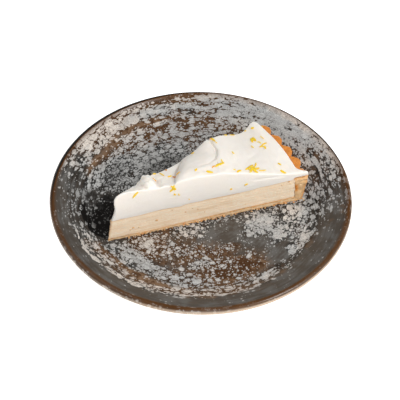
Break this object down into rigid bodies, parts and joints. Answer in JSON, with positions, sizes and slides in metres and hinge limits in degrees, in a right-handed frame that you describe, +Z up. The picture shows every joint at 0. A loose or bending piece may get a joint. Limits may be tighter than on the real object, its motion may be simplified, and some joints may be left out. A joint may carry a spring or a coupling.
{
  "type": "slice of lemon tart on a plate",
  "caption": "Cut slice of lemon tart with a fluted crust, set filling and whipped cream topping with zest, on a shallow round speckled stoneware plate.",
  "frame": {"origin": "middle of the plate's underside, in the plane of its foot ring", "axes": "+Z up; the slice's tip points to -X and its crust to +X, and its near cut faces -Y"},
  "size_m": [0.205, 0.205, 0.0527],
  "materials": {
    "plate": null,
    "pastry_case": null,
    "filling": null,
    "cream": null
  },
  "bodies": {
    "root": {"plate": "plate", "pastry_case": "pastry_case", "filling": "filling", "cream": "cream"}
  },
  "joints": []
}
